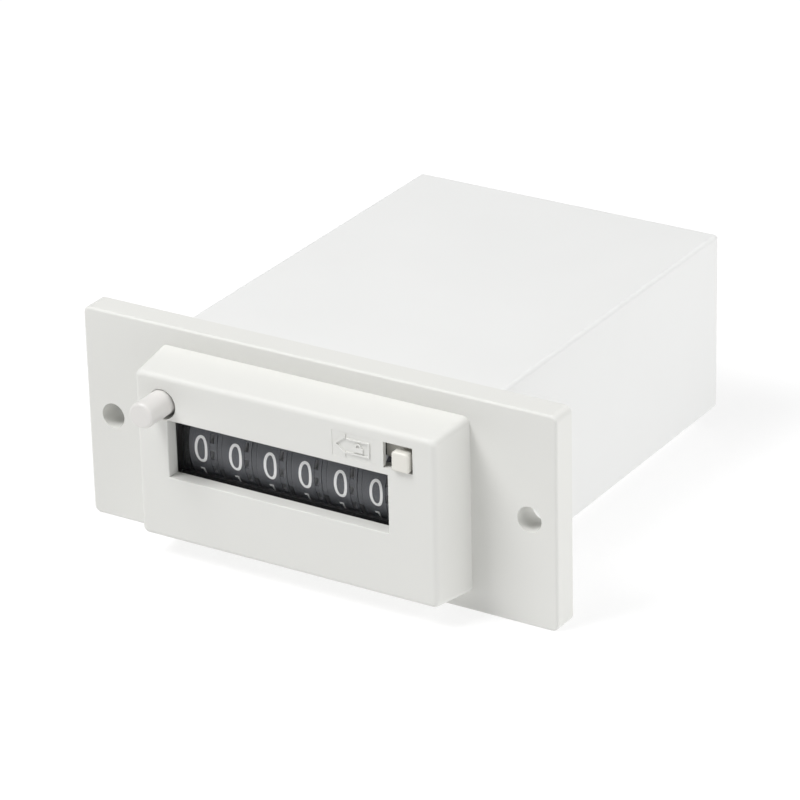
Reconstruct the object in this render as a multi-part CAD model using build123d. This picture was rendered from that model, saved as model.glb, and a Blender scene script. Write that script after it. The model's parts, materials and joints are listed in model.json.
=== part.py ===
from build123d import *
import math
import os

# Six-digit panel counter with an electromagnet drive, a push-button reset and a lock slide.
# Millimetres. X runs along the digit row, +Y into the panel, +Z up.
# Origin: midway between the two flange holes, on the rear face of the flange.

# ---------------------------------------------------------------- driving dimensions
FLANGE_WIDTH = 75.0
FLANGE_HEIGHT = 31.5
FLANGE_THICK = 4.0
SCREW_SPACING = 66.6
SCREW_HOLE = 3.7
BEZEL_FRONT = -11.65
BEZEL_BASE_SIZE = (49.0, 25.9)
BEZEL_FRONT_SIZE = (47.4, 24.5)
BEZEL_CENTRE = (-0.1, -0.1)
FRONT_WALL = 2.05
PICTOGRAM_RELIEF = 0.14
PICTOGRAM_LINE = 0.22
PADLOCK_X = 11.85
PADLOCK_BODY = (1.5, 7.95, 8.65)
SHACKLE_R = 0.5
SHACKLE_Z = 8.75
INSERT_MARK = (7.75, 14.5, 6.75, 10.45)
INSERT_DEPTH = 0.05
CAVITY = (-22.1, 22.0, -10.75, 10.8)
WINDOW = (-18.83, 16.27, -2.85, 5.69)
CASE_FRONT_SIZE = (50.1, 27.0)
CASE_REAR_SIZE = (49.8, 27.1)
CASE_CENTRE_Z = 0.2
CASE_DEPTH = 64.7
CASE_WALL = 1.6

WHEEL_Y = -0.8
WHEEL_Z = 0.9
WHEEL_R = 7.8
WHEEL_PITCH = 5.6
BANK_LEFT = -16.9
DRUM_WIDTH = 3.9
COLLAR_R = 7.75
COLLAR_WIDTH = 0.85
END_COLLAR_WIDTH = 0.6
HUB_R = 2.05
HUB_END = 4.6
SHAFT_R = 1.0
RUNNING_FIT = 0.05
WHEEL_NAMES = ("hundred_thousands", "ten_thousands", "thousands", "hundreds", "tens", "units")

SLOT_COUNT = 20
SLOT_PHASE = 184.5
SLOT_SPAN = (2.8, 3.45)
SLOT_FLOOR_R = 6.8
SLOT_HALF_FLOOR = 0.45
SLOT_HALF_MOUTH = 0.70
TOOTH_RING_R = 7.72
PINION_TEETH = 8
PINION_Y = 5.5
PINION_Z = -6.6
PINION_FLANK = ((1.2, 0.40), (2.4, 0.18), (2.9, 0.10))
PINION_SHAFT_R = 0.8

HEART_SPAN = (4.0, 4.55)
HEART_LOW_R = 2.2
HEART_HIGH_R = 4.5
FINGER_SPAN = (3.98, 4.67)
FINGER_FRONT_R = 7.68

BUTTON_X = -19.65
BUTTON_Z = 8.09
BUTTON_R = 1.9
BUTTON_HOLE = (-19.5, 7.92)
BUTTON_HOLE_R = 2.2
BUTTON_FRONT = -16.6
STEM_R = 1.25
SLOT_WINDOW = (15.7, 20.2, 6.7, 10.44)
SLOT_WALL = 0.7
KNOB = (17.25, 19.85, 6.85, 9.65)
KNOB_FRONT = -12.25

LEFT_PLATE = (-18.7, -17.7)
RIGHT_PLATE = (17.4, 18.6)
COIL_Z = 0.4
CORE_R = 3.0
CORE_FACE = 27.2
COIL_REAR = 55.7
PIVOT_Y = 25.0
PIVOT_Z = -7.6
CROSS_ROD = (18.0, -3.5)

os.makedirs("parts", exist_ok=True)


# ---------------------------------------------------------------- helpers
def block(x0, x1, y0, y1, z0, z1):
    centre = Pos((x0 + x1) / 2, (y0 + y1) / 2, (z0 + z1) / 2)
    return centre * Box(x1 - x0, y1 - y0, z1 - z0)


def rod_x(radius, x0, x1, y, z):
    return Pos((x0 + x1) / 2, y, z) * Rot(0, 90, 0) * Cylinder(radius, x1 - x0)


def rod_y(radius, y0, y1, x, z):
    return Pos(x, (y0 + y1) / 2, z) * Rot(90, 0, 0) * Cylinder(radius, y1 - y0)


def plate_yz(points, x0, x1):
    return extrude(Plane.YZ.offset(x0) * Polygon(*points, align=None), x1 - x0)


def plate_xz(points, y0, y1):
    return extrude(Plane.XZ.offset(-y1) * Polygon(*points, align=None), y1 - y0)


def rect_at(y, width, height, x, z):
    return Plane.XZ.offset(-y) * Pos(x, z) * Rectangle(width, height)


def drafted(y0, size0, y1, size1, centre):
    first = rect_at(y0, size0[0], size0[1], centre[0], centre[1])
    second = rect_at(y1, size1[0], size1[1], centre[0], centre[1])
    return loft([first, second])


def edges_along(shape, axis):
    return shape.edges().filter_by(axis)


def front_edges(shape, y):
    return [e for e in shape.edges() if abs(e.center().Y - y) < 0.01]


def polar(radius, angle, y=WHEEL_Y, z=WHEEL_Z):
    turn = math.radians(angle)
    return (y + radius * math.cos(turn), z + radius * math.sin(turn))


def save(name, shape):
    export_step(shape, "parts/" + name + ".step")


# ---------------------------------------------------------------- housing
def arrow_outline(inset):
    """Left-pointing arrow beside the lock slide, as a closed outline moved inward by inset."""
    tip, neck, tail = 8.1 + 1.5 * inset, 9.85 + inset, 13.6 - inset
    low, high, middle = 7.5 + inset, 9.7 - inset, 8.65
    head = 1.65 - 2.0 * inset
    return [
        (tip, middle), (neck, middle - head), (neck, low), (tail, low),
        (tail, high), (neck, high), (neck, middle + head),
    ]


def padlock_sign(top, root):
    """Solid padlock body with an open shackle standing on it."""
    width, low, high = PADLOCK_BODY
    inner_r = SHACKLE_R - PICTOGRAM_LINE
    shackle = block(PADLOCK_X - SHACKLE_R, PADLOCK_X + SHACKLE_R, top, root, high - 0.05, SHACKLE_Z)
    shackle += rod_y(SHACKLE_R, top, root, PADLOCK_X, SHACKLE_Z)
    shackle -= block(PADLOCK_X - inner_r, PADLOCK_X + inner_r, top - 1, root + 1, high, SHACKLE_Z)
    shackle -= rod_y(inner_r, top - 1, root + 1, PADLOCK_X, SHACKLE_Z)
    below = block(PADLOCK_X - 1, PADLOCK_X + 1, top - 1, root + 1, low - 1, high - 0.05)
    return block(PADLOCK_X - width / 2, PADLOCK_X + width / 2, top, root, low, high) + (shackle - below)


def lock_pictogram():
    """Raised arrow with a padlock inside it."""
    top, root = BEZEL_FRONT - PICTOGRAM_RELIEF, BEZEL_FRONT + 0.1
    arrow = plate_xz(arrow_outline(0.0), top, root)
    arrow -= plate_xz(arrow_outline(PICTOGRAM_LINE), top - 1, root + 1)
    return [arrow, padlock_sign(top, root)]


def insert_mark():
    """Very shallow rectangular step that the mould insert of the pictogram leaves."""
    x0, x1, z0, z1 = INSERT_MARK
    return block(x0, x1, BEZEL_FRONT - 1, BEZEL_FRONT + INSERT_DEPTH, z0, z1)


def front_frame():
    half_w, half_h = FLANGE_WIDTH / 2, FLANGE_HEIGHT / 2
    flange = block(-half_w, half_w, -FLANGE_THICK, 0, -half_h, half_h)
    flange = fillet(edges_along(flange, Axis.Y), 1.0)
    flange = fillet(front_edges(flange, -FLANGE_THICK), 0.4)
    bezel = drafted(-FLANGE_THICK + 0.2, BEZEL_BASE_SIZE, BEZEL_FRONT, BEZEL_FRONT_SIZE, BEZEL_CENTRE)
    slanted = [e for e in bezel.edges() if abs(e.tangent_at(0.5).Y) > 0.9]
    bezel = fillet(slanted, 1.0)
    bezel = fillet(front_edges(bezel, BEZEL_FRONT), 0.8)
    body = flange + bezel
    inner_front = BEZEL_FRONT + FRONT_WALL
    x0, x1, z0, z1 = CAVITY
    body -= block(x0, x1, inner_front, 1, z0, z1)
    body -= block(WINDOW[0], WINDOW[1], BEZEL_FRONT - 1, inner_front + 1, WINDOW[2], WINDOW[3])
    rim = [e for e in front_edges(body, BEZEL_FRONT) if WINDOW[0] - 0.1 < e.center().X < WINDOW[1] + 0.1]
    rim = [e for e in rim if WINDOW[2] - 0.1 < e.center().Z < WINDOW[3] + 0.1]
    body = fillet(rim, 0.15)
    body -= rod_y(BUTTON_HOLE_R, BEZEL_FRONT - 1, inner_front + 1, BUTTON_HOLE[0], BUTTON_HOLE[1])
    x0, x1, z0, z1 = SLOT_WINDOW
    body -= block(x0, x1, BEZEL_FRONT - 1, inner_front + 1, z0, z1)
    body -= block(13.1, 21.4, BEZEL_FRONT + SLOT_WALL, inner_front + 1, 6.5, CAVITY[3])
    for side in (-1, 1):
        body -= rod_y(SCREW_HOLE / 2, -FLANGE_THICK - 1, 1, side * SCREW_SPACING / 2, 0)
        post = block(18.9, 22.4, inner_front - 0.2, -3.0, -11.0, -6.8)
        body += post if side > 0 else mirror(post, about=Plane.YZ)
        body -= rod_y(1.0, -8.3, 0, side * 20.4, -8.7)
    body += block(-12, 12, inner_front - 0.2, -8.3, 9.5, 10.1)
    body += block(-12, 12, inner_front - 0.2, -8.3, 6.1, 6.7)
    body -= insert_mark()
    for relief in lock_pictogram():
        body += relief
    return body


def rear_case():
    shell = drafted(0, CASE_FRONT_SIZE, CASE_DEPTH, CASE_REAR_SIZE, (0, CASE_CENTRE_Z))
    slanted = [e for e in shell.edges() if abs(e.tangent_at(0.5).Y) > 0.9]
    shell = fillet(slanted, 0.6)
    shell = fillet(front_edges(shell, CASE_DEPTH), 0.6)
    half_w = CASE_REAR_SIZE[0] / 2 - CASE_WALL
    half_h = CASE_FRONT_SIZE[1] / 2 - CASE_WALL
    z0, z1 = CASE_CENTRE_Z - half_h, CASE_CENTRE_Z + half_h
    shell -= block(-half_w, half_w, -1, CASE_DEPTH - CASE_WALL, z0, z1)
    for side in (-1, 1):
        shell += rod_y(2.6, 57.5, CASE_DEPTH - 1.0, side * 12.5, COIL_Z)
        shell -= rod_y(1.3, 50, CASE_DEPTH + 1, side * 12.5, COIL_Z)
        shell -= rod_y(2.4, CASE_DEPTH - 0.8, CASE_DEPTH + 1, side * 12.5, COIL_Z)
        shell -= block(side * 4.5 - 1.5, side * 4.5 + 1.5, 60, 66, 0.45, 1.55)
    return shell


def window_lens():
    inner_front = BEZEL_FRONT + FRONT_WALL
    return block(-19.4, 17.0, inner_front, inner_front + 0.6, -3.6, 5.85)


# ---------------------------------------------------------------- chassis
def left_side_plate():
    x0, x1 = LEFT_PLATE
    outline = [(-8.2, -10.4), (22, -10.4), (22, 2), (12, 5.8), (-8.2, 5.8)]
    plate = plate_yz(outline, x0, x1)
    plate += block(-21.6, x1, 3.5, 5.0, 4.0, 9.9)
    plate -= rod_y(STEM_R + RUNNING_FIT, 3, 6, BUTTON_X, BUTTON_Z)
    plate += block(-21.8, x1, -3.0, -1.8, -10.4, -6.9)
    plate -= rod_y(1.05, -4, 0, -20.4, -8.7)
    return bore_plate(plate, x0, x1)


def right_side_plate():
    x0, x1 = RIGHT_PLATE
    outline = [(-8.2, -10.4), (22, -10.4), (22, 2), (12, 9.0), (-6.4, 9.0), (-6.4, -3.5), (-8.2, -4.6)]
    plate = plate_yz(outline, x0, x1)
    plate += block(x0, 21.8, -3.0, -1.8, -10.4, -6.9)
    plate -= rod_y(1.05, -4, 0, 20.4, -8.7)
    return bore_plate(plate, x0, x1)


def bore_plate(plate, x0, x1):
    plate -= rod_x(SHAFT_R, x0 - 1, x1 + 1, WHEEL_Y, WHEEL_Z)
    plate -= rod_x(PINION_SHAFT_R, x0 - 1, x1 + 1, PINION_Y, PINION_Z)
    plate -= rod_x(0.9, x0 - 1, x1 + 1, CROSS_ROD[0], CROSS_ROD[1])
    plate -= rod_x(2.4, x0 - 1, x1 + 1, 12.0, -6.4)
    return plate


def front_mask():
    mask = block(LEFT_PLATE[0], RIGHT_PLATE[1], -8.8, -8.2, -10.4, -2.75)
    mask += block(-15, 15, -8.3, -7.0, -10.4, -9.8)
    return mask


def chassis_base():
    base = block(LEFT_PLATE[0], RIGHT_PLATE[1], 1.0, 57.5, -11.4, -10.4)
    for y in (8, 15):
        base -= block(-13, 13, y, y + 4, -12, -10)
    return base


def wheel_shaft():
    return rod_x(SHAFT_R, LEFT_PLATE[0] - 1.2, RIGHT_PLATE[1] + 1.2, WHEEL_Y, WHEEL_Z)


def pinion_shaft():
    return rod_x(PINION_SHAFT_R, LEFT_PLATE[0] - 0.5, RIGHT_PLATE[1] + 0.5, PINION_Y, PINION_Z)


def cross_rod():
    return rod_x(0.9, LEFT_PLATE[0] - 0.5, RIGHT_PLATE[1] + 0.5, CROSS_ROD[0], CROSS_ROD[1])


def shaft_clips():
    clips = []
    for x in (LEFT_PLATE[0] - 0.5, RIGHT_PLATE[1]):
        ring = rod_x(2.1, x, x + 0.5, WHEEL_Y, WHEEL_Z) - rod_x(SHAFT_R, x - 1, x + 1, WHEEL_Y, WHEEL_Z)
        ring -= block(x - 1, x + 1, WHEEL_Y - 0.7, WHEEL_Y + 0.7, WHEEL_Z - 3, WHEEL_Z - 0.2)
        clips.append(ring)
    return Compound(children=clips)


# ---------------------------------------------------------------- number wheels
def heart_profile():
    steps = 24
    points = []
    for k in range(steps):
        angle = 360.0 * k / steps
        swing = abs(angle - 180.0) / 180.0
        points.append(polar(HEART_LOW_R + (HEART_HIGH_R - HEART_LOW_R) * (1 - swing), angle + 180.0))
    return points


def number_wheel(index):
    left = BANK_LEFT + WHEEL_PITCH * index
    wheel = rod_x(WHEEL_R, left, left + DRUM_WIDTH, WHEEL_Y, WHEEL_Z)
    wheel -= rod_x(5.5, left + 2.2, left + DRUM_WIDTH + 1, WHEEL_Y, WHEEL_Z)
    collar_width = COLLAR_WIDTH if index > 0 else END_COLLAR_WIDTH
    hub_left = left - collar_width
    wheel += rod_x(HUB_R, hub_left, left + HUB_END, WHEEL_Y, WHEEL_Z)
    wheel += plate_yz(heart_profile(), left + HEART_SPAN[0], left + HEART_SPAN[1])
    collar = rod_x(COLLAR_R, left - collar_width, left, WHEEL_Y, WHEEL_Z)
    if index > 0:
        notch = block(left - 2, left, 6.6, 8.5, -0.8, 0.8)
        collar -= Pos(0, WHEEL_Y, WHEEL_Z) * Rot(-49.97 + 18, 0, 0) * notch
    wheel += collar
    band = rod_x(WHEEL_R + 1, left + SLOT_SPAN[0], left + DRUM_WIDTH, WHEEL_Y, WHEEL_Z)
    wheel -= band - rod_x(TOOTH_RING_R, left, left + 6, WHEEL_Y, WHEEL_Z)
    low, high, mouth = SLOT_HALF_FLOOR, SLOT_HALF_MOUTH, WHEEL_R + 0.1
    slot = [(SLOT_FLOOR_R, -low), (mouth, -high), (mouth, high), (SLOT_FLOOR_R, low)]
    cutter = plate_yz(slot, left + SLOT_SPAN[0], left + SLOT_SPAN[1])
    for k in range(SLOT_COUNT):
        angle = SLOT_PHASE + 360.0 / SLOT_COUNT * k
        wheel -= Pos(0, WHEEL_Y, WHEEL_Z) * Rot(angle, 0, 0) * cutter
    wheel -= rod_x(SHAFT_R + RUNNING_FIT, left - 2, left + 7, WHEEL_Y, WHEEL_Z)
    return wheel


def star_wheel():
    points = []
    for k in range(10):
        points.append(polar(5.2, 36 * k + 5))
        points.append(polar(4.9, 36 * k + 10))
        points.append(polar(4.0, 36 * k + 16))
        points.append(polar(4.0, 36 * k + 34))
    star = plate_yz(points, 16.0, 16.8)
    star += rod_x(HUB_R, 15.7, 16.8, WHEEL_Y, WHEEL_Z)
    for k in range(5):
        y, z = polar(3.0, 72 * k)
        star -= rod_x(0.5, 15, 17, y, z)
    star -= rod_x(SHAFT_R + RUNNING_FIT, 15, 18, WHEEL_Y, WHEEL_Z)
    return star


def tooth_phase():
    """Angle of one pinion tooth so that it stands in the middle of a wheel slot."""
    line = math.degrees(math.atan2(PINION_Z - WHEEL_Z, PINION_Y - WHEEL_Y)) % 360
    step = 360.0 / SLOT_COUNT
    nearest = SLOT_PHASE + step * round((line - SLOT_PHASE) / step)
    return line + 180.0 - (nearest - line) * SLOT_COUNT / PINION_TEETH


def pinion(index):
    left = BANK_LEFT + WHEEL_PITCH * index
    gear = rod_x(1.5, left + 2.65, left + 5.4, PINION_Y, PINION_Z)
    lower = [(r, -half) for r, half in PINION_FLANK]
    upper = [(r, half) for r, half in reversed(PINION_FLANK)]
    tooth = plate_yz(lower + upper, left + SLOT_SPAN[0] + 0.1, left + SLOT_SPAN[1] - 0.1)
    dog = block(left + 4.75, left + 5.4, 1.0, 1.85, -0.35, 0.35)
    for k in range(PINION_TEETH):
        turn = Pos(0, PINION_Y, PINION_Z) * Rot(tooth_phase() + 360.0 / PINION_TEETH * k, 0, 0)
        gear += turn * tooth
        gear += turn * dog
    gear -= rod_x(PINION_SHAFT_R + RUNNING_FIT, left, left + 8, PINION_Y, PINION_Z)
    return gear


# ---------------------------------------------------------------- reset and lock
def reset_button():
    cap = rod_y(BUTTON_R, BUTTON_FRONT, -9.5, BUTTON_X, BUTTON_Z)
    cap = fillet(front_edges(cap, BUTTON_FRONT), 0.45)
    collar = rod_y(2.7, -9.5, -8.9, BUTTON_X, BUTTON_Z)
    collar -= block(-23, -21.9, -10, -8, 4, 12)
    collar -= block(-23, -16, -10, -8, 4, 6.2)
    collar -= block(-23, -16, -10, -8, 10.5, 12)
    stem = rod_y(STEM_R, -9.0, 5.6, BUTTON_X, BUTTON_Z)
    stem = chamfer(front_edges(stem, 5.6), 0.3)
    return cap + collar + stem


def reset_comb():
    bar = block(-21.2, 19.5, -6.9, -4.3, 9.3, 10.3)
    eye = block(-21.2, -18.0, -5.3, -3.8, 6.4, 9.4)
    comb = bar + eye + block(18.9, 19.5, -6.9, -4.3, 7.4, 9.4)
    comb -= rod_y(STEM_R, -6, -3, BUTTON_X, BUTTON_Z)
    front = [polar(FINGER_FRONT_R, angle) for angle in range(199, 138, -6)]
    finger = [(-7.45, -1.58), (-7.45, 4.6), (-5.9, 6.2), (-5.9, 9.4), (-6.9, 9.4), (-6.9, 6.6)] + front[::-1]
    for index in range(6):
        left = BANK_LEFT + WHEEL_PITCH * index
        comb += plate_yz(finger, left + FINGER_SPAN[0], left + FINGER_SPAN[1])
    return comb


def coil_spring(radius, wire, y0, y1, turns, x, z):
    length = y1 - y0 - 2 * wire
    path = Helix(length / turns, length, radius, center=(x, y0 + wire, z), direction=(0, 1, 0))
    section = Plane(origin=path @ 0, z_dir=path % 0) * Circle(wire)
    return sweep(section, path=path, is_frenet=True)


def reset_spring():
    return coil_spring(1.72, 0.17, -3.8, 3.5, 6, BUTTON_X, BUTTON_Z)


def lock_slider():
    x0, x1, z0, z1 = KNOB
    knob = block(x0, x1, KNOB_FRONT, BEZEL_FRONT + 0.5, z0, z1)
    upright = edges_along(knob, Axis.Y)
    knob = fillet([e for e in upright if e.center().Z > z0 + 1], 0.45)
    knob = fillet([e for e in edges_along(knob, Axis.Y) if e.center().Z < z0 + 0.1], 0.25)
    knob = fillet(front_edges(knob, KNOB_FRONT), 0.3)
    stem = block(x0 + 0.5, x1 - 0.5, BEZEL_FRONT + 0.4, -8.7, z0 + 0.6, z1 - 0.6)
    cover = block(15.1, 21.1, -9.75, -9.05, 7.35, 10.65)
    cover = chamfer([e for e in front_edges(cover, -9.75) if abs(e.center().Z - 7.35) < 0.01], 0.3)
    return knob + stem + cover


def lock_bar():
    bar = block(-15.8, 21.2, -8.7, -8.0, 7.0, 9.2)
    return bar + block(16.9, 20.7, -8.7, -8.0, 6.6, 10.35)


# ---------------------------------------------------------------- electromagnet drive
def yoke():
    leg = block(-8, 8, 27.0, 57.5, -10.4, -8.8)
    back = block(-15.2, 15.2, 55.9, 57.5, -10.4, 8.2)
    frame = leg + back
    for side in (-1, 1):
        x0, x1 = (8.0, 9.2) if side > 0 else (-9.2, -8.0)
        frame += block(x0, x1, 23.2, 31, -10.4, -8.8)
        frame += block(x0, x1, 23.2, 27.8, -8.9, -6.0)
        frame -= rod_y(1.25, 55, 58, side * 12.5, COIL_Z)
    frame -= rod_x(0.8, -10, 10, PIVOT_Y, PIVOT_Z)
    frame -= rod_y(2.0, 55, 58, 0, COIL_Z)
    return frame


def core():
    return rod_y(CORE_R, CORE_FACE, 55.9, 0, COIL_Z) + rod_y(2.0, 55.8, 58.1, 0, COIL_Z)


def bobbin():
    tube = rod_y(4.0, 28.2, COIL_REAR, 0, COIL_Z)
    for y in (28.2, COIL_REAR - 1.2):
        cheek = block(-9, 9, y, y + 1.2, COIL_Z - 8.6, COIL_Z + 8.6)
        tube += fillet(edges_along(cheek, Axis.Y), 1.5)
    return tube - rod_y(CORE_R + 0.05, 20, 60, 0, COIL_Z)


def winding():
    return rod_y(8.2, 29.45, 54.45, 0, COIL_Z) - rod_y(4.02, 20, 60, 0, COIL_Z)


def armature():
    plate = block(-7.8, 7.8, 24.8, 26.2, -7.6, 7.5)
    plate += rod_x(1.5, -7.8, 7.8, PIVOT_Y, PIVOT_Z)
    plate += block(7.7, 16.0, 24.8, 26.2, 1.0, 5.0)
    plate -= rod_x(0.85, -10, 10, PIVOT_Y, PIVOT_Z)
    return plate


def armature_pin():
    return rod_x(0.8, -9.7, 9.7, PIVOT_Y, PIVOT_Z)


def escapement_lever():
    outline = [
        (26.2, 1.0), (26.2, 5.0), (23.0, 5.0), (9.5, 3.6), (7.6, 5.6), (4.6, 7.6), (2.3, 7.4),
        (1.9, 5.6), (3.4, 6.3), (5.4, 4.6), (6.3, 2.0), (6.3, -1.5), (5.0, -4.55), (2.3, -4.95),
        (2.2, -5.5), (5.7, -5.5), (7.6, -2.0), (8.2, 0.4), (23.0, 1.0),
    ]
    return plate_yz(outline, 16.0, 16.7)


def lever_rivet():
    return rod_x(0.9, 16.7, 17.1, 24.6, 3.0)


def armature_spring():
    return coil_spring(1.1, 0.15, 19.0, 24.7, 8, -3.0, CROSS_ROD[1])


# ---------------------------------------------------------------- terminals, leads, screws
def terminal_block():
    body = block(-8.5, 8.5, CASE_DEPTH, 66.3, -2.4, 4.4)
    body = fillet(edges_along(body, Axis.Y), 0.8)
    body += block(-0.6, 0.6, 66.2, 72.5, -2.4, 4.4)
    for side in (-1, 1):
        body -= block(side * 4.5 - 1.45, side * 4.5 + 1.45, 60, 70, 0.55, 1.45)
    return body


def terminal_tabs():
    tabs = []
    for side in (-1, 1):
        x = side * 4.5
        tab = block(x - 1.4, x + 1.4, 59.6, 73.0, 0.6, 1.4)
        tab = chamfer([e for e in tab.edges().filter_by(Axis.Z) if e.center().Y > 72], 0.6)
        tab -= Pos(x, 71.2, 1.0) * Cylinder(0.5, 4)
        tabs.append(tab)
    return Compound(children=tabs)


def lead_wires():
    wires = []
    for side in (-1, 1):
        path = FilletPolyline(
            (side * 3.0, 50.0, 8.75), (side * 3.0, 52.4, 9.65), (side * 3.0, 59.9, 9.65),
            (side * 4.5, 60.6, 1.55), radius=1.2)
        section = Plane(origin=path @ 0, z_dir=path % 0) * Circle(0.45)
        wires.append(sweep(section, path=path))
    return Compound(children=wires)


def pan_screw(radius, head_r, head_y, head_h, tip_y, x, z):
    """Screw along Y whose head is on the +Y side."""
    head = rod_y(head_r, head_y, head_y + head_h, x, z)
    head = fillet(front_edges(head, head_y + head_h), head_h * 0.35)
    screw = head + rod_y(radius, tip_y, head_y + 0.1, x, z)
    screw -= block(x - head_r, x + head_r, head_y + head_h * 0.5, head_y + head_h + 1, z - 0.25, z + 0.25)
    return screw


def chassis_screws():
    return Compound(children=[pan_screw(0.95, 1.5, -1.8, 1.1, -8.0, x, -8.7) for x in (-20.4, 20.4)])


def case_screws():
    seat = CASE_DEPTH - 0.8
    return Compound(children=[pan_screw(1.2, 2.1, seat, 1.3, 54.5, x, COIL_Z) for x in (-12.5, 12.5)])


PARTS = {
    "front_frame": front_frame,
    "rear_case": rear_case,
    "window_lens": window_lens,
    "left_side_plate": left_side_plate,
    "right_side_plate": right_side_plate,
    "front_mask": front_mask,
    "chassis_base": chassis_base,
    "wheel_shaft": wheel_shaft,
    "shaft_clips": shaft_clips,
    "pinion_shaft": pinion_shaft,
    "cross_rod": cross_rod,
    "star_wheel": star_wheel,
    "reset_button": reset_button,
    "reset_comb": reset_comb,
    "reset_spring": reset_spring,
    "lock_slider": lock_slider,
    "lock_bar": lock_bar,
    "yoke": yoke,
    "core": core,
    "bobbin": bobbin,
    "winding": winding,
    "armature": armature,
    "armature_pin": armature_pin,
    "armature_spring": armature_spring,
    "escapement_lever": escapement_lever,
    "lever_rivet": lever_rivet,
    "terminal_block": terminal_block,
    "terminal_tabs": terminal_tabs,
    "lead_wires": lead_wires,
    "chassis_screws": chassis_screws,
    "case_screws": case_screws,
}

for node, maker in PARTS.items():
    save(node, maker())

for index, name in enumerate(WHEEL_NAMES):
    save(name + "_wheel", number_wheel(index))
    if index < 5:
        save(name + "_pinion", pinion(index))
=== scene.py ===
import json
import math

import bpy
from mathutils import Matrix, Vector


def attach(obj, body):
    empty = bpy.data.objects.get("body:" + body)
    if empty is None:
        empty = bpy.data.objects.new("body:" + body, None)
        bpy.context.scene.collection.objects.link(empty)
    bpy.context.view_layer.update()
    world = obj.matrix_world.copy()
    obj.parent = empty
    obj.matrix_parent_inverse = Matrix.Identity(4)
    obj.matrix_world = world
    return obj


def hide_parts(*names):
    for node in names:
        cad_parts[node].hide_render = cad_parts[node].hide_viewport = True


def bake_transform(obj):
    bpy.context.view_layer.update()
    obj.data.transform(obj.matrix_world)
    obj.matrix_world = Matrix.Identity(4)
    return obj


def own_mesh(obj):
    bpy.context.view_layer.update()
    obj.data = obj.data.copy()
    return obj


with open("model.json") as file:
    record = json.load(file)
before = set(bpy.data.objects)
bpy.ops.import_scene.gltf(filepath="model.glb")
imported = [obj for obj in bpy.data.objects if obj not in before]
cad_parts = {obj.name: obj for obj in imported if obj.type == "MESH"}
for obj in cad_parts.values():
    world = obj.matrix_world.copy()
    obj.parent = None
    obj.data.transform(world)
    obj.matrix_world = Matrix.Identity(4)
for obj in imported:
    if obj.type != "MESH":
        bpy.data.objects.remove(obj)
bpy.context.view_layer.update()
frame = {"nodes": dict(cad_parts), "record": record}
MM = 0.001

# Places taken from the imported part, in millimetres of the row frame.
WHEEL_Y, WHEEL_Z, WHEEL_R = -0.8, 0.9, 7.8
WHEEL_PITCH, BANK_LEFT = 5.6, -16.9
WHEELS = ("hundred_thousands", "ten_thousands", "thousands", "hundreds", "tens", "units")
FLOOR_Z = -15.75
BUTTON_X, BUTTON_Z, SPRING_REAR = -19.65, 8.09, 3.5
COIL_Z, ROD_Y = 0.4, 18.0
# The wire is centred in a space 0.05 mm ahead of the part's winding. The seat is 0.02 mm off the armature.
WINDING_FRONT, WINDING_LENGTH, ARMATURE_SEAT_Y = 29.4, 25.0, 24.78


# ------------------------------------------------------------------ camera
# Pinhole camera fitted to the corners of the object. FOCAL_PIXELS is for an image 800 pixels wide.
FOCAL_PIXELS, IMAGE_PIXELS, SENSOR_WIDTH = 4339.6, 800.0, 36.0
CAMERA_PLACE = (291.7, -444.2, 252.9)
CAMERA_FORWARD = (-0.4849, 0.7678, -0.4186)
CAMERA_RIGHT = (0.8507, 0.5252, -0.0221)


def look_camera():
    data = bpy.data.cameras.new("photo_camera")
    data.sensor_width = SENSOR_WIDTH
    data.lens = FOCAL_PIXELS / IMAGE_PIXELS * SENSOR_WIDTH
    data.clip_start = 0.05
    data.clip_end = 20.0
    cam = bpy.data.objects.new("photo_camera", data)
    bpy.context.collection.objects.link(cam)
    forward = Vector(CAMERA_FORWARD).normalized()
    right = Vector(CAMERA_RIGHT)
    right = (right - forward * right.dot(forward)).normalized()
    up = right.cross(forward)
    turn = Matrix((right, up, -forward)).transposed().to_4x4()
    cam.matrix_world = Matrix.Translation(Vector(CAMERA_PLACE) * MM) @ turn
    bpy.context.scene.camera = cam


look_camera()


# ------------------------------------------------------------------ materials
# FLOW_SCALE is per metre and RELIEF_DEPTH in metres. RIM_SKIN is in millimetres below the rim.
FLOW_SCALE = 60.0
GLOSS_SPREAD = 0.06
METAL_GLOSS_SPREAD = 0.1
RELIEF_DEPTH = 0.00003
RIM_COLOUR = (0.108, 0.112, 0.124)
# Paler colour of the wheels' pocket walls: painted light that offsets the shade inside the pockets.
POCKET_PAINTED_LIGHT = (0.42, 0.42, 0.43, 1)
RIM_SKIN = 0.3


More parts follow.
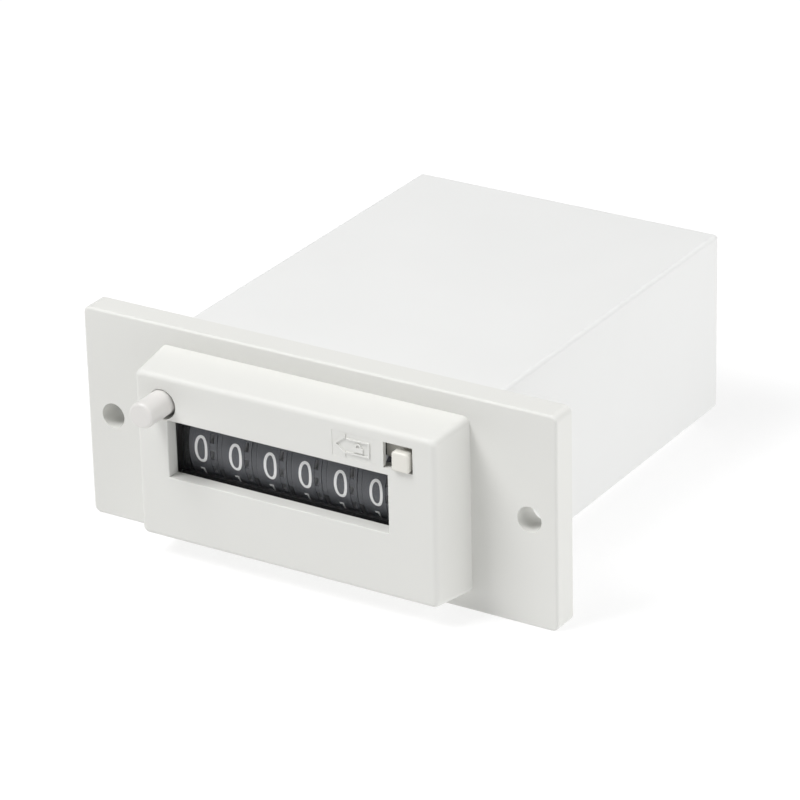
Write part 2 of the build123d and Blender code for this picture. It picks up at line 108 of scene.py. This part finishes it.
def plastic(name, colour, rough, grain_mm=0.16, bump=0.05, mottling=0.02, specular=0.5):
    """Moulded plastic: fine grain in gloss and relief, faint flow marks in colour."""
    mat = bpy.data.materials.new(name)
    mat.use_nodes = True
    tree = mat.node_tree
    nodes, links = tree.nodes, tree.links
    shader = nodes["Principled BSDF"]
    shader.inputs["Specular IOR Level"].default_value = specular
    where = nodes.new("ShaderNodeTexCoord")
    flow = nodes.new("ShaderNodeTexNoise")
    flow.inputs["Scale"].default_value = FLOW_SCALE
    flow.inputs["Detail"].default_value = 3.0
    links.new(where.outputs["Object"], flow.inputs["Vector"])
    tint = nodes.new("ShaderNodeMix")
    tint.data_type = "RGBA"
    tint.inputs["A"].default_value = [c * (1 - mottling) for c in colour] + [1]
    tint.inputs["B"].default_value = [min(1, c * (1 + mottling)) for c in colour] + [1]
    links.new(flow.outputs["Fac"], tint.inputs["Factor"])
    links.new(tint.outputs["Result"], shader.inputs["Base Color"])
    grain = nodes.new("ShaderNodeTexNoise")
    grain.inputs["Scale"].default_value = 1000.0 / grain_mm / 2
    grain.inputs["Detail"].default_value = 2.0
    links.new(where.outputs["Object"], grain.inputs["Vector"])
    gloss = nodes.new("ShaderNodeMapRange")
    gloss.inputs["To Min"].default_value = rough - GLOSS_SPREAD
    gloss.inputs["To Max"].default_value = rough + GLOSS_SPREAD
    links.new(grain.outputs["Fac"], gloss.inputs["Value"])
    links.new(gloss.outputs["Result"], shader.inputs["Roughness"])
    relief = nodes.new("ShaderNodeBump")
    relief.inputs["Strength"].default_value = bump
    relief.inputs["Distance"].default_value = RELIEF_DEPTH
    links.new(grain.outputs["Fac"], relief.inputs["Height"])
    links.new(relief.outputs["Normal"], shader.inputs["Normal"])
    return mat


def metal(name, colour, rough, stretch=(1, 12, 1), grain=900.0, bump=0.08, variation=0.08):
    """Metal with one noise, drawn out by stretch, in gloss, tone and relief."""
    mat = bpy.data.materials.new(name)
    mat.use_nodes = True
    tree = mat.node_tree
    nodes, links = tree.nodes, tree.links
    shader = nodes["Principled BSDF"]
    shader.inputs["Metallic"].default_value = 1.0
    where = nodes.new("ShaderNodeTexCoord")
    squeeze = nodes.new("ShaderNodeMapping")
    squeeze.inputs["Scale"].default_value = [1.0 / s for s in stretch]
    links.new(where.outputs["Object"], squeeze.inputs["Vector"])
    streak = nodes.new("ShaderNodeTexNoise")
    streak.inputs["Scale"].default_value = grain
    streak.inputs["Detail"].default_value = 4.0
    links.new(squeeze.outputs["Vector"], streak.inputs["Vector"])
    tint = nodes.new("ShaderNodeMix")
    tint.data_type = "RGBA"
    tint.inputs["A"].default_value = [c * (1 - variation) for c in colour] + [1]
    tint.inputs["B"].default_value = [min(1, c * (1 + variation)) for c in colour] + [1]
    links.new(streak.outputs["Fac"], tint.inputs["Factor"])
    links.new(tint.outputs["Result"], shader.inputs["Base Color"])
    gloss = nodes.new("ShaderNodeMapRange")
    gloss.inputs["To Min"].default_value = max(0.05, rough - METAL_GLOSS_SPREAD)
    gloss.inputs["To Max"].default_value = rough + METAL_GLOSS_SPREAD
    links.new(streak.outputs["Fac"], gloss.inputs["Value"])
    links.new(gloss.outputs["Result"], shader.inputs["Roughness"])
    relief = nodes.new("ShaderNodeBump")
    relief.inputs["Strength"].default_value = bump
    relief.inputs["Distance"].default_value = RELIEF_DEPTH
    links.new(streak.outputs["Fac"], relief.inputs["Height"])
    links.new(relief.outputs["Normal"], shader.inputs["Normal"])
    return mat


def wheel_material():
    """Dark rim, and a paler colour for whatever lies deeper than RIM_SKIN, such as the pocket walls: painted
    light, which lifts the shade in the pockets of the tooth ring to about the drum's tone and leaves faint
    light marks there like lit tooth edges.
    """
    mat = plastic("wheel_plastic", RIM_COLOUR, 0.42, bump=0.10, mottling=0.08)
    tree = mat.node_tree
    nodes, links = tree.nodes, tree.links
    shader = nodes["Principled BSDF"]
    rim_colour = shader.inputs["Base Color"].links[0].from_socket
    where = nodes.new("ShaderNodeTexCoord")
    from_axis = nodes.new("ShaderNodeVectorMath")
    from_axis.operation = "SUBTRACT"
    from_axis.inputs[1].default_value = (0, WHEEL_Y * MM, WHEEL_Z * MM)
    links.new(where.outputs["Object"], from_axis.inputs[0])
    across = nodes.new("ShaderNodeVectorMath")
    across.operation = "MULTIPLY"
    across.inputs[1].default_value = (0, 1, 1)
    links.new(from_axis.outputs["Vector"], across.inputs[0])
    radius = nodes.new("ShaderNodeVectorMath")
    radius.operation = "LENGTH"
    links.new(across.outputs["Vector"], radius.inputs[0])
    rim = nodes.new("ShaderNodeMapRange")
    rim.inputs["From Min"].default_value = (WHEEL_R - RIM_SKIN) * MM
    rim.inputs["From Max"].default_value = (WHEEL_R - RIM_SKIN / 2) * MM
    links.new(radius.outputs["Value"], rim.inputs["Value"])
    # Painted light: the paler colour goes on everything deeper than RIM_SKIN, where the pockets lie in shade.
    colour = nodes.new("ShaderNodeMix")
    colour.data_type = "RGBA"
    colour.inputs["A"].default_value = POCKET_PAINTED_LIGHT
    links.new(rim.outputs["Result"], colour.inputs["Factor"])
    links.new(rim_colour, colour.inputs["B"])
    links.new(colour.outputs["Result"], shader.inputs["Base Color"])
    return mat


def lens_material():
    """Clear acrylic sheet, almost fully see-through."""
    mat = plastic("clear_lens", (0.10, 0.11, 0.12), 0.08, grain_mm=2.0, bump=0.02)
    shader = mat.node_tree.nodes["Principled BSDF"]
    shader.inputs["Alpha"].default_value = 0.03
    shader.inputs["IOR"].default_value = 1.49
    return mat


MATERIALS = {
    # body_plastic is set darker than case_plastic though both are one plastic: painted shade, standing in for
    # the lower light on the front frame's forward faces.
    "body_plastic": plastic("body_plastic", (0.725, 0.725, 0.699), 0.55, specular=0.35),
    "case_plastic": plastic("case_plastic", (0.770, 0.773, 0.765), 0.55, specular=0.35),
    "button_plastic": plastic("button_plastic", (0.712, 0.698, 0.679), 0.32, bump=0.02),
    "slider_plastic": plastic("slider_plastic", (0.745, 0.731, 0.678), 0.40),
    "clear_lens": lens_material(),
    "wheel_plastic": wheel_material(),
    "pinion_plastic": plastic("pinion_plastic", (0.68, 0.65, 0.55), 0.35),
    "chassis_plastic": plastic("chassis_plastic", (0.009, 0.009, 0.009), 0.50, bump=0.12, mottling=0.1),
    "bobbin_plastic": plastic("bobbin_plastic", (0.03, 0.04, 0.07), 0.40, bump=0.1),
    "terminal_plastic": plastic("terminal_plastic", (0.02, 0.02, 0.021), 0.45, bump=0.12, mottling=0.1),
    "lead_insulation": plastic("lead_insulation", (0.45, 0.03, 0.025), 0.40),
    "steel": metal("steel", (0.55, 0.56, 0.57), 0.28, stretch=(12, 1, 1)),
    "plated_steel": metal("plated_steel", (0.62, 0.62, 0.58), 0.34),
    "spring_steel": metal("spring_steel", (0.60, 0.61, 0.63), 0.22),
    "brass": metal("brass", (0.70, 0.50, 0.20), 0.30),
    "tin_brass": metal("tin_brass", (0.74, 0.68, 0.55), 0.32),
    "copper_wire": metal("copper_wire", (0.62, 0.24, 0.09), 0.30, stretch=(1, 1, 1)),
}
NUMERAL_WHITE = plastic("numeral_white", (0.98, 0.98, 0.98), 0.45, bump=0.03, mottling=0.005)

for row in frame["record"]["subparts"]:
    node = frame["nodes"][row["node"]]
    node.data.materials.clear()
    node.data.materials.append(MATERIALS[row["material_slot"]])


# ------------------------------------------------------------------ mesh helpers
def make_mesh(name, points, faces, material, body, smooth=True):
    mesh = bpy.data.meshes.new(name)
    mesh.from_pydata([(x * MM, y * MM, z * MM) for x, y, z in points], [], faces)
    mesh.validate()
    mesh.update()
    for face in mesh.polygons:
        face.use_smooth = smooth
    mesh.materials.append(material)
    obj = bpy.data.objects.new(name, mesh)
    bpy.context.collection.objects.link(obj)
    if body:
        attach(obj, body)
    return obj


# ------------------------------------------------------------------ numerals
NUMERAL_STROKE = 0.42
THIN_STROKE = 0.30
NUMERAL_HALF_WIDTH = 0.83
NUMERAL_HALF_HEIGHT = 1.80
NUMERAL_OFFSET = 1.4
# Strokes are sunk into the drum and stand a little proud of it, each further stroke by one layer step more.
STROKE_SUNK, STROKE_PROUD, LAYER_STEP = 0.02, 0.03, 0.004


def arc(cx, cy, rx, ry, start, end, count=18):
    steps = [math.radians(start + (end - start) * k / count) for k in range(count + 1)]
    return [(cx + rx * math.cos(t), cy + ry * math.sin(t)) for t in steps]


def curve(a, control, b, count=14):
    path = []
    for k in range(count + 1):
        t = k / count
        path.append(tuple(a[i] * (1 - t) ** 2 + 2 * control[i] * t * (1 - t) + b[i] * t * t for i in (0, 1)))
    return path


def zero_path():
    """Slightly squared ellipse."""
    path = []
    for k in range(48):
        t = 2 * math.pi * k / 48
        c, s = math.cos(t), math.sin(t)
        u = NUMERAL_HALF_WIDTH * math.copysign(abs(c) ** 0.88, c)
        v = NUMERAL_HALF_HEIGHT * math.copysign(abs(s) ** 0.92, s)
        path.append((u, v))
    return path


def numeral_paths(digit):
    """Centre lines of a numeral as (path, closed) pairs, in a box 1.7 wide and 3.6 high."""
    six = [(arc(0, -0.80, 0.80, 1.0, 0, 350, 30), True),
           (curve((-0.80, -0.80), (-0.78, 1.10), (0.50, 1.80)), False)]
    nine = [([(-u, -v) for u, v in path], closed) for path, closed in six]
    table = {
        0: [(zero_path(), True)],
        1: [([(-0.62, 1.62), (-0.1, 1.70)], False), ([(-0.1, 1.80), (0.05, -1.80)], False)],
        2: [(arc(0, 0.98, 0.78, 0.82, 165, -30) + [(-0.80, -1.80), (0.82, -1.80)], False)],
        3: [(arc(0, 0.95, 0.72, 0.85, 150, -80) + arc(0, -0.85, 0.80, 0.95, 80, -150), False)],
        4: [([(0.38, -1.80), (0.38, 1.80), (-0.84, -0.80), (0.86, -0.80)], False)],
        5: [([(0.72, 1.80), (-0.62, 1.80), (-0.72, 0.25)] + arc(0, -0.68, 0.80, 1.12, 125, -150), False)],
        6: six,
        7: [([(-0.82, 1.80), (0.82, 1.80), (-0.25, -1.80)], False)],
        8: [(arc(0, 0.95, 0.66, 0.85, 0, 350, 30), True), (arc(0, -0.85, 0.80, 0.95, 0, 350, 30), True)],
        9: nine,
    }
    return table[digit]


def subdivide(path, closed, step=0.15):
    """Adds points so that a straight stroke follows the drum."""
    result = []
    count = len(path) if closed else len(path) - 1
    for k in range(count):
        a, b = path[k], path[(k + 1) % len(path)]
        parts = max(1, math.ceil(math.dist(a, b) / step))
        result += [(a[0] + (b[0] - a[0]) * j / parts, a[1] + (b[1] - a[1]) * j / parts) for j in range(parts)]
    if not closed:
        result.append(path[-1])
    return result


def stroke_sides(path, closed, width):
    """Left and right edges of a stroke with mitred corners."""
    left, right = [], []
    total = len(path)
    half = width / 2
    for k, point in enumerate(path):
        before = path[(k - 1) % total] if closed or k > 0 else None
        after = path[(k + 1) % total] if closed or k < total - 1 else None
        directions = []
        if before is not None:
            directions.append(Vector((point[0] - before[0], point[1] - before[1])).normalized())
        if after is not None:
            directions.append(Vector((after[0] - point[0], after[1] - point[1])).normalized())
        mean = sum(directions, Vector((0, 0))).normalized()
        normal = Vector((-mean.y, mean.x))
        spread = max(0.5, mean.dot(directions[0]))
        reach = half / spread
        left.append((point[0] + normal.x * reach, point[1] + normal.y * reach))
        right.append((point[0] - normal.x * reach, point[1] - normal.y * reach))
    return left, right


def add_numeral(points, faces, centre_x, digit):
    """Wraps one numeral round its drum. The 0 faces the window and each digit is a tenth of a turn on."""
    base = math.pi + math.radians(36.0) * digit
    for layer, (path, closed) in enumerate(numeral_paths(digit)):
        path = subdivide(path, closed)
        left, right = stroke_sides(path, closed, THIN_STROKE if digit == 1 else NUMERAL_STROKE)
        low, high = WHEEL_R - STROKE_SUNK, WHEEL_R + STROKE_PROUD + LAYER_STEP * layer
        start = len(points)
        for (lu, lv), (ru, rv) in zip(left, right):
            for u, v, radius in ((lu, lv, high), (ru, rv, high), (ru, rv, low), (lu, lv, low)):
                angle = base - v / WHEEL_R
                y, z = WHEEL_Y + radius * math.cos(angle), WHEEL_Z + radius * math.sin(angle)
                points.append((centre_x + u, y, z))
        count = len(path)
        for k in range(count if closed else count - 1):
            a, b = start + 4 * k, start + 4 * ((k + 1) % count)
            for i in range(4):
                j = (i + 1) % 4
                faces.append((a + i, a + j, b + j, b + i))
        if not closed:
            end = start + 4 * (count - 1)
            faces.append((start + 3, start + 2, start + 1, start))
            faces.append((end, end + 1, end + 2, end + 3))


def numerals():
    for index, name in enumerate(WHEELS):
        points, faces = [], []
        centre = BANK_LEFT + WHEEL_PITCH * index + NUMERAL_OFFSET
        for digit in range(10):
            add_numeral(points, faces, centre, digit)
        body = name + "_wheel"
        make_mesh(name + "_numerals", points, faces, NUMERAL_WHITE, body, smooth=False)


numerals()


# ------------------------------------------------------------------ springs and winding
# Pitch of the close turns of a spring, in wire radii.
CLOSE_PITCH = 2.05


def tube(path, radius, sides=10):
    """Points and faces of a round wire along a path of mm points, closed at both ends."""
    points, faces = [], []
    count = len(path)
    side = None
    for k, point in enumerate(path):
        here = Vector(point)
        ahead = (Vector(path[min(k + 1, count - 1)]) - Vector(path[max(k - 1, 0)])).normalized()
        if side is None:
            side = ahead.orthogonal().normalized()
        side = (side - ahead * side.dot(ahead)).normalized()
        other = ahead.cross(side)
        for j in range(sides):
            turn = 2 * math.pi * j / sides
            points.append(tuple(here + radius * (side * math.cos(turn) + other * math.sin(turn))))
    for k in range(count - 1):
        for j in range(sides):
            a, b = k * sides + j, k * sides + (j + 1) % sides
            faces.append((a, b, b + sides, a + sides))
    faces.append(tuple(reversed(range(sides))))
    faces.append(tuple(range((count - 1) * sides, count * sides)))
    return points, faces


def coil_path(centre_x, centre_z, radius, y0, y1, turns, closed_turns, wire, steps=28):
    """Helix along Y whose first and last turns lie close together at their seats."""
    total = turns + 2 * closed_turns
    flat = CLOSE_PITCH * wire
    path = []
    for k in range(int(total * steps) + 1):
        t = k / steps
        if t < closed_turns:
            y = y0 + wire + flat * t
        elif t > total - closed_turns:
            y = y1 - wire - flat * (total - t)
        else:
            low, high = y0 + wire + flat * closed_turns, y1 - wire - flat * closed_turns
            y = low + (high - low) * (t - closed_turns) / turns
        turn = 2 * math.pi * t
        path.append((centre_x + radius * math.cos(turn), y, centre_z + radius * math.sin(turn)))
    return path


def reset_coil():
    """Compression spring behind the reset button, 7.3 mm long, which the button presses to 5.3 mm. The mesh
    keeps its 7.3 mm length.
    """
    length, radius, wire = 7.3, 1.72, 0.17
    path = coil_path(BUTTON_X, BUTTON_Z, radius, SPRING_REAR - length, SPRING_REAR, 5, 1, wire)
    points, faces = tube(path, wire)
    obj = make_mesh("reset_coil", points, faces, MATERIALS["spring_steel"], "housing")
    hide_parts("reset_spring")
    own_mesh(obj)


def wound_wire():
    """Outer layer of the coil: one wire laid side by side."""
    pitch, radius, wire = 0.42, 8.25, 0.2
    turns = int(WINDING_LENGTH / pitch) - 1
    steps = 40
    y0 = WINDING_FRONT + (WINDING_LENGTH - turns * pitch) / 2
    path = []
    for k in range(turns * steps + 1):
        turn = 2 * math.pi * k / steps
        y = y0 + pitch * k / steps
        path.append((radius * math.cos(turn), y, COIL_Z + radius * math.sin(turn)))
    points, faces = tube(path, wire, sides=8)
    make_mesh("wound_wire", points, faces, MATERIALS["copper_wire"], "housing")


def armature_coil():
    """Tension spring: a loop round the cross rod, then open turns with a close turn at each end."""
    x, z, wire, loop, steps = -3.0, -3.5, 0.15, 1.06, 30
    path = []
    for k in range(steps + 1):
        turn = math.radians(200 - 310 * k / steps)
        path.append((x + 0.3 - 0.6 * k / steps, ROD_Y + loop * math.cos(turn), z + loop * math.sin(turn)))
    path.append((x, ROD_Y + 1.25, z - 0.9))
    coil = coil_path(x, z, 0.95, ROD_Y + 1.2, ARMATURE_SEAT_Y, 10, 1, wire)
    path += coil[6:]
    points, faces = tube(path, wire, sides=8)
    obj = make_mesh("armature_coil", points, faces, MATERIALS["spring_steel"], None)
    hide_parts("armature_spring")
    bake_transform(obj)


reset_coil()
armature_coil()
wound_wire()


# ------------------------------------------------------------------ floor and light
FLOOR_HALF = 3000
FLOOR_GLOW = 0.72
SKY_STRENGTH = 0.12
LIGHT_TARGET = (0, 0.03, 0)
# Name, place in metres, side of the square in metres, power in watts.
LIGHTS = (
    ("key", (-0.42, -0.50, 0.92), 0.5, 9.9),
    ("overhead", (-0.10, 0.00, 1.10), 0.8, 3.75),
    ("fill_right", (0.9, -0.1, 0.35), 0.7, 3.4),
    ("rear_right", (0.80, 0.55, 0.35), 0.6, 2.6),
)


def floor():
    """Paper under the object. It gives off light of its own, for the white ground of the photograph."""
    corners = ((-1, -1), (1, -1), (1, 1), (-1, 1))
    points = [(FLOOR_HALF * x, FLOOR_HALF * y, FLOOR_Z) for x, y in corners]
    mesh = bpy.data.meshes.new("floor")
    mesh.from_pydata([(x * MM, y * MM, z * MM) for x, y, z in points], [], [(0, 1, 2, 3)])
    mat = plastic("floor_paper", (0.30, 0.30, 0.30), 0.8, grain_mm=1.0, bump=0.02, mottling=0.003)
    shader = mat.node_tree.nodes["Principled BSDF"]
    shader.inputs["Emission Color"].default_value = (1, 1, 1, 1)
    shader.inputs["Emission Strength"].default_value = FLOOR_GLOW
    mesh.materials.append(mat)
    obj = bpy.data.objects.new("floor", mesh)
    bpy.context.collection.objects.link(obj)


def area_light(name, place, size, power):
    data = bpy.data.lights.new(name, "AREA")
    data.shape = "RECTANGLE"
    data.size, data.size_y = size, size
    data.energy = power
    obj = bpy.data.objects.new(name, data)
    bpy.context.collection.objects.link(obj)
    obj.location = Vector(place)
    aim = Vector(LIGHT_TARGET) - Vector(place)
    obj.rotation_euler = aim.to_track_quat("-Z", "Y").to_euler()


def lights():
    world = bpy.data.worlds.new("studio")
    world.use_nodes = True
    background = world.node_tree.nodes["Background"]
    background.inputs["Color"].default_value = (1.0, 1.0, 1.0, 1)
    background.inputs["Strength"].default_value = SKY_STRENGTH
    bpy.context.scene.world = world
    for name, place, size, power in LIGHTS:
        area_light(name, place, size, power)


floor()
lights()
scene = bpy.context.scene
scene.view_settings.view_transform = "Standard"
scene.view_settings.look = "None"
